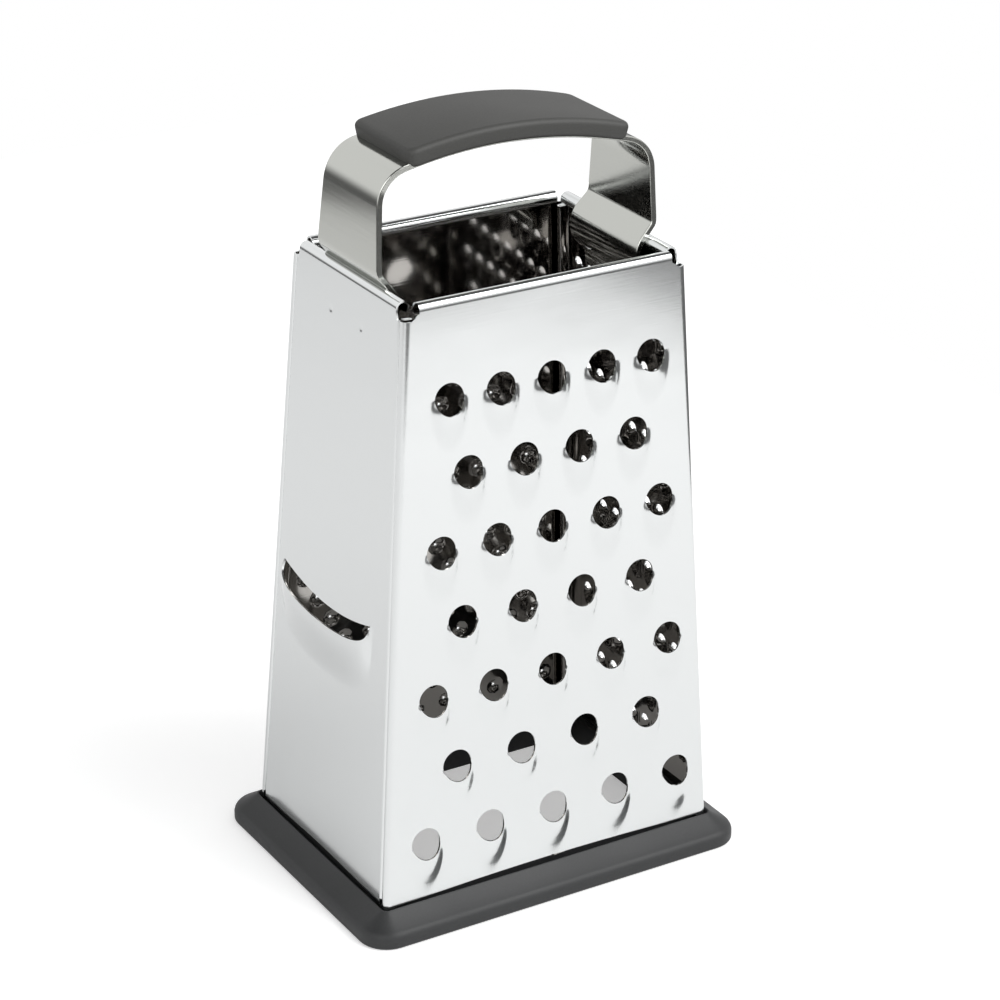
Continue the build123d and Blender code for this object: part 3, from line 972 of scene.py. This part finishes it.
def ring_stations():
    """Section of the ring: distance out from the sheet, height, and the corner radius there."""
    b = body_sizes()
    r = bpy.context.scene.grater_ring
    # Radii of the foot, of the shoulder and of the lips' edges
    foot, dome, edge = 1.0 * MM, 3.0 * MM, 0.3 * MM
    slope = (r.height - r.shoulder_height) / (r.flare - r.lip_gap)
    tilt = 90 - math.degrees(math.atan(slope))
    trim = dome * math.tan(math.radians(tilt) / 2)
    lip_in = -b.sheet - r.inner_gap
    bore = lip_in - r.inner_lip

    # From the middle of the underside out, up over the flank, into the groove and down inside
    outer = [((bore + r.flare) / 2, 0), (r.flare - foot - edge, 0)]
    outer += rounding((r.flare - foot, foot), foot, -90, 0, 5)
    outer += rounding((r.flare - dome, r.shoulder_height - trim), dome, 0, tilt, 7)
    outer += [(r.lip_gap + 2 * edge, r.height - 2 * edge * slope)]
    outer += rounding((r.lip_gap + edge, r.height - edge * 1.2), edge, tilt, 180, 4)
    groove = [
        (r.lip_gap, r.groove_floor + edge), (r.lip_gap, r.groove_floor),
        (lip_in, r.groove_floor), (lip_in, r.groove_floor + edge),
    ]
    groove += rounding((lip_in - 2 * edge, r.inner_height - 2 * edge), 2 * edge, 0, 90, 4)
    inner = rounding((bore + 2 * edge, r.inner_height - 2 * edge), 2 * edge, 90, 180, 4)
    inner += [(bore, edge), (bore, 0), (bore + edge, 0)]
    return [
        *((x, z, r.corner - r.flare + x) for x, z in outer),
        *((x, z, b.corner_bend) for x, z in groove),
        *((x, z, r.inner_corner - bore + x) for x, z in inner),
    ]


class GRATER_OT_ring(Operator):
    """Make the rubber base ring: flared skirt, groove for the sheet and an inner lip"""

    bl_idname = "grater.ring"
    bl_label = "Base ring"

    def execute(self, context):
        b = body_sizes()
        loops = [
            rounded_loop(b.base_width / 2 + out, b.base_depth / 2 + out, radius, up)
            for out, up, radius in ring_stations()]
        ring = loop_on(loops[0], "ring")
        for points in loops[1:] + loops[:1]:
            carry_loop(ring, points)
        tidy_mesh(ring)
        smooth(ring, 40)
        finish_piece(ring, "base_ring", "base_rubber", "base_bumper", ring_rubber())
        return {"FINISHED"}


# Materials

def add_node(tree, kind, links=None, **settings):
    """Add a node, set its properties, and give each input a value or a link."""
    node = tree.nodes.new(kind)
    for key, value in settings.items():
        setattr(node, key, value)
    for key, value in (links or {}).items():
        if isinstance(value, bpy.types.NodeSocket):
            tree.links.new(value, node.inputs[key])
        else:
            node.inputs[key].default_value = value
    return node


def surfaced(tree, socket, kind="ShaderNodeOutputMaterial"):
    """End a node tree with its output."""
    add_node(tree, kind, {"Surface": socket})


def new_material(name):
    """An empty node material, and its tree."""
    material = bpy.data.materials.new(name)
    material.use_nodes = True
    material.node_tree.nodes.clear()
    return material, material.node_tree


def noise(tree, size, **values):
    """Cloudy noise on the object's own coordinates, with clouds of about this size in metres."""
    place = add_node(tree, "ShaderNodeTexCoord").outputs["Object"]
    return add_node(tree, "ShaderNodeTexNoise", {"Vector": place, "Scale": 1 / size, **values})


def streaks(tree, spacing, reach):
    """Noise in fine level lines: spacing up the sheet and reach along it, in metres."""
    mapping = add_node(tree, "ShaderNodeMapping", {
        "Vector": add_node(tree, "ShaderNodeTexCoord").outputs["Object"],
        "Scale": (1 / reach, 1 / reach, 1 / spacing),
    })
    return add_node(tree, "ShaderNodeTexNoise", {
        "Vector": mapping.outputs["Vector"], "Scale": 1.0, "Detail": 3.0, "Roughness": 0.55,
    }).outputs["Fac"]


def bumped(tree, socket, strength, depth):
    """A normal that is bumped by a signal."""
    return add_node(tree, "ShaderNodeBump", {
        "Height": socket, "Strength": strength, "Distance": depth,
    }).outputs["Normal"]


def ranged(tree, socket, low, high):
    """Map a 0 to 1 signal to a range."""
    return add_node(tree, "ShaderNodeMapRange", {
        "Value": socket, "To Min": low, "To Max": high,
    }).outputs["Result"]


def steel(name, colour_value, lines, clouds, strength, depth, smoothest, roughest):
    """Stainless steel with fine level lines, and a roughness that drifts in soft clouds.

    Lines and clouds each give a spacing up the steel and a reach along it.
    """
    if name in bpy.data.materials:
        return bpy.data.materials[name]
    material, tree = new_material(name)
    surfaced(tree, add_node(tree, "ShaderNodeBsdfPrincipled", {
        "Base Color": (*colour_value, 1.0), "Metallic": 1.0,
        "Roughness": ranged(tree, streaks(tree, *clouds), smoothest, roughest),
        "Normal": bumped(tree, streaks(tree, *lines), strength, depth),
    }).outputs["BSDF"])
    return material


def sheet_metals():
    """Bright annealed stainless sheet: nearly a mirror outside, and inside the same steel painted
    darker, as painted shade of the interior.
    """
    finish = bpy.context.scene.grater_finish
    # Rolling lines are about 0.05 mm apart and are drawn ten times coarser, so that they show
    rolled = (0.5 * MM, 30 * MM), (14 * MM, 40 * MM), 0.06, 0.05 * MM
    return [
        steel("bright_rolled_stainless", finish.sheet_colour, *rolled, 0.1, 0.2),
        # The inside copy has a darker colour: painted shade of the interior
        steel("inside_stainless_painted_shade", finish.inside_colour, *rolled, 0.04, 0.09),
    ]


def strap_metal():
    """Polished stainless strip: a mirror with a slight haze from the polishing belt."""
    # Belt lines are about 0.03 mm apart and are drawn coarser, so that they show
    belt = (0.35 * MM, 25 * MM)
    strip = bpy.context.scene.grater_finish.strap_colour
    return steel("polished_stainless_strip", strip, belt, belt, 0.04, 0.04 * MM, 0.08, 0.2)


# The Mix node's sockets for colours, which share their names with those for numbers
MIX_A, MIX_B, MIX_RESULT = 6, 7, 2
# Shades of a rubber's grain
PIT, PEAK = 0.72, 1.28


def grained(name, colour_value, roughness, grain):
    """A moulded soft rubber with a fine sparked grain of this size in metres."""
    material, tree = new_material(name)
    speckle = noise(tree, grain, Detail=4.0, Roughness=0.6).outputs["Fac"]
    haze = noise(tree, 30 * MM, Detail=2.0).outputs["Fac"]
    dark, pale = ((*(c * shade for c in colour_value), 1.0) for shade in (PIT, PEAK))
    tint = add_node(tree, "ShaderNodeMix", {"Factor": speckle}, data_type="RGBA")
    tint.inputs[MIX_A].default_value = dark
    tint.inputs[MIX_B].default_value = pale
    surfaced(tree, add_node(tree, "ShaderNodeBsdfPrincipled", {
        "Base Color": tint.outputs[MIX_RESULT],
        "Roughness": ranged(tree, haze, roughness - 0.05, roughness + 0.07),
        "Normal": bumped(tree, speckle, 0.35, 0.06 * MM),
    }).outputs["BSDF"])
    return material


def grip_rubber():
    """Soft-touch thermoplastic rubber, moulded over the strip: dull, dark, finely grained."""
    grip = bpy.context.scene.grater_finish.grip_colour
    return grained("soft_touch_moulded_rubber", grip, 0.55, 0.5 * MM)


def ring_rubber():
    """Thermoplastic rubber ring, moulded: dull, dark, with a fine speckle."""
    ring = bpy.context.scene.grater_finish.ring_colour
    return grained("moulded_base_rubber", ring, 0.5, 0.6 * MM)


def seen_or_mirrored(tree):
    """One where the camera, a mirror or glass looks, else nothing."""
    path = add_node(tree, "ShaderNodeLightPath").outputs
    first = add_node(tree, "ShaderNodeMath", {
        0: path["Is Camera Ray"], 1: path["Is Glossy Ray"],
    }, operation="MAXIMUM")
    return add_node(tree, "ShaderNodeMath", {
        0: first.outputs["Value"], 1: path["Is Transmission Ray"],
    }, operation="MAXIMUM").outputs["Value"]


# Stage

# Edges of the sheet of white paper that the grater stands on, in metres
PAPER_LEFT = -0.8
PAPER_RIGHT = 0.355
PAPER_FRONT = -0.585
PAPER_BACK = 0.66
# White added to the paper where the camera sees it, and where metal mirrors it
PAPER_LIFT_CAMERA = 0.36
PAPER_LIFT_MIRROR = 0.08
# Strength of the room's light on matt surfaces, and what mirrors see of ceiling and floor
WORLD_FILL = 0.6
CEILING = 0.1
GROUND = 0.15
# Where the walls fade into them, from -1 straight down to 1 straight up
CEILING_FADE = (0.58, 0.74)
GROUND_FADE = (-0.12, 0.16)
# Soft boxes: name, place and size in metres, and power in watts
LAMPS = (
    ("key", (0.75, -1.0, 1.4), 1.2, 22.0),
    ("fill", (-1.2, -0.9, 1.2), 1.0, 5.0),
)
LAMP_TARGET = (0, 0, 0.1)
WHITE = (1.0, 1.0, 1.0, 1.0)
PAPER_WHITE = (0.88, 0.88, 0.88, 1.0)


def floor_paper():
    """White paper, matt: it takes the soft shadow, and shows as white where it is seen."""
    material, tree = new_material("white_paper_floor")
    fibre = noise(tree, 2 * MM, Detail=2.0).outputs["Fac"]
    paper = add_node(tree, "ShaderNodeBsdfDiffuse", {
        "Color": PAPER_WHITE, "Normal": bumped(tree, fibre, 0.02, 0.05 * MM),
    })
    camera = add_node(tree, "ShaderNodeMath", {
        0: add_node(tree, "ShaderNodeLightPath").outputs["Is Camera Ray"],
        1: PAPER_LIFT_CAMERA - PAPER_LIFT_MIRROR,
    }, operation="MULTIPLY")
    lift = add_node(tree, "ShaderNodeMath", {
        0: seen_or_mirrored(tree), 1: PAPER_LIFT_MIRROR, 2: camera.outputs["Value"],
    }, operation="MULTIPLY_ADD")
    glow = add_node(tree, "ShaderNodeEmission", {
        "Color": WHITE, "Strength": lift.outputs["Value"],
    })
    surfaced(tree, add_node(tree, "ShaderNodeAddShader", {
        0: paper.outputs["BSDF"], 1: glow.outputs["Emission"],
    }).outputs["Shader"])
    return material


def white_room():
    """A world of white walls, between a dark floor beyond the paper and a dark ceiling.

    Only mirrors see the floor and the ceiling.
    """
    world = bpy.data.worlds.new("white_studio")
    world.use_nodes = True
    tree = world.node_tree
    tree.nodes.clear()
    way = add_node(tree, "ShaderNodeTexCoord").outputs["Generated"]
    up = add_node(tree, "ShaderNodeSeparateXYZ", {"Vector": way}).outputs["Z"]
    ceiling, ground = (
        add_node(tree, "ShaderNodeMapRange", {
            "Value": up, "From Min": start, "From Max": end, "To Min": low, "To Max": high,
        }, interpolation_type="SMOOTHSTEP").outputs["Result"]
        for start, end, low, high in ((*CEILING_FADE, 1.0, CEILING), (*GROUND_FADE, GROUND, 1.0)))
    room = add_node(tree, "ShaderNodeMath", {0: ceiling, 1: ground}, operation="MULTIPLY")
    seen = add_node(tree, "ShaderNodeMix", {
        "Factor": add_node(tree, "ShaderNodeLightPath").outputs["Is Camera Ray"],
        "A": room.outputs["Value"], "B": 1.0,
    })
    strength = add_node(tree, "ShaderNodeMix", {
        "Factor": seen_or_mirrored(tree), "A": WORLD_FILL, "B": seen.outputs["Result"],
    })
    surfaced(tree, add_node(tree, "ShaderNodeBackground", {
        "Color": WHITE, "Strength": strength.outputs["Result"],
    }).outputs["Background"], "ShaderNodeOutputWorld")
    return world


def aim(place, target):
    """A turned place that looks at a target, with no roll."""
    way = Vector(target) - Vector(place)
    return Matrix.LocRotScale(Vector(place), way.to_track_quat("-Z", "Y"), None)


class GRATER_OT_stage(Operator):
    """Make the floor, the studio light and the camera"""

    bl_idname = "grater.stage"
    bl_label = "Floor, light and camera"

    def execute(self, context):
        scene = context.scene
        finish = scene.grater_finish
        clear_selection()
        bpy.ops.mesh.primitive_plane_add(size=2)
        floor = context.object
        for vertex in floor.data.vertices:
            vertex.co.x = PAPER_RIGHT if vertex.co.x > 0 else PAPER_LEFT
            vertex.co.y = PAPER_BACK if vertex.co.y > 0 else PAPER_FRONT
        floor.name = "floor"
        floor.data.materials.append(floor_paper())
        for name, place, size, power in LAMPS:
            bpy.ops.object.light_add(type="AREA", location=place)
            lamp = context.object
            lamp.name = name
            lamp.data.size = size
            lamp.data.energy = power
            lamp.matrix_world = aim(place, LAMP_TARGET)
        scene.world = white_room()
        bpy.ops.object.camera_add()
        camera = context.object
        camera.name = "camera"
        roll = Matrix.Rotation(finish.camera_roll, 4, "Z")
        camera.matrix_world = aim(finish.camera_place, finish.camera_target) @ roll
        camera.data.sensor_width = 36.0
        camera.data.sensor_fit = "HORIZONTAL"
        camera.data.lens = finish.camera_lens
        camera.data.clip_start = 0.05
        camera.data.clip_end = 50.0
        scene.camera = camera
        scene.view_settings.view_transform = "Standard"
        clear_selection()
        return {"FINISHED"}


class GRATER_PT_panel(Panel):
    """Sidebar panel with the sizes, the finishes and a button for each piece"""

    bl_idname = "GRATER_PT_panel"
    bl_label = "Box grater"
    bl_space_type = "VIEW_3D"
    bl_region_type = "UI"
    bl_category = "Box grater"

    def draw(self, context):
        layout = self.layout
        for operator in OPERATORS:
            layout.operator(operator.bl_idname)
        for attribute, group in GROUPS:
            box = layout.box()
            settings = getattr(context.scene, attribute)
            for key in group.__annotations__:
                box.prop(settings, key)


GROUPS = (
    ("grater_body", BodySizes),
    ("grater_punch", PunchSizes),
    ("grater_handle", HandleSizes),
    ("grater_ring", RingSizes),
    ("grater_finish", Finishes),
)
OPERATORS = (
    GRATER_OT_stage,
    GRATER_OT_coarse,
    GRATER_OT_slicer,
    GRATER_OT_back,
    GRATER_OT_right,
    GRATER_OT_strap,
    GRATER_OT_grip,
    GRATER_OT_ring,
)
CLASSES = (*(group for _, group in GROUPS), *OPERATORS, GRATER_PT_panel)


def register():
    for cls in CLASSES:
        bpy.utils.register_class(cls)
    for attribute, group in GROUPS:
        setattr(bpy.types.Scene, attribute, PointerProperty(type=group))


def unregister():
    for attribute, _ in GROUPS:
        delattr(bpy.types.Scene, attribute)
    for cls in reversed(CLASSES):
        bpy.utils.unregister_class(cls)


def main():
    register()
    bpy.ops.grater.stage()
    bpy.ops.grater.coarse()
    bpy.ops.grater.slicer()
    bpy.ops.grater.back()
    bpy.ops.grater.right()
    bpy.ops.grater.strap()
    bpy.ops.grater.grip()
    bpy.ops.grater.ring()


if __name__ == "__main__":
    main()
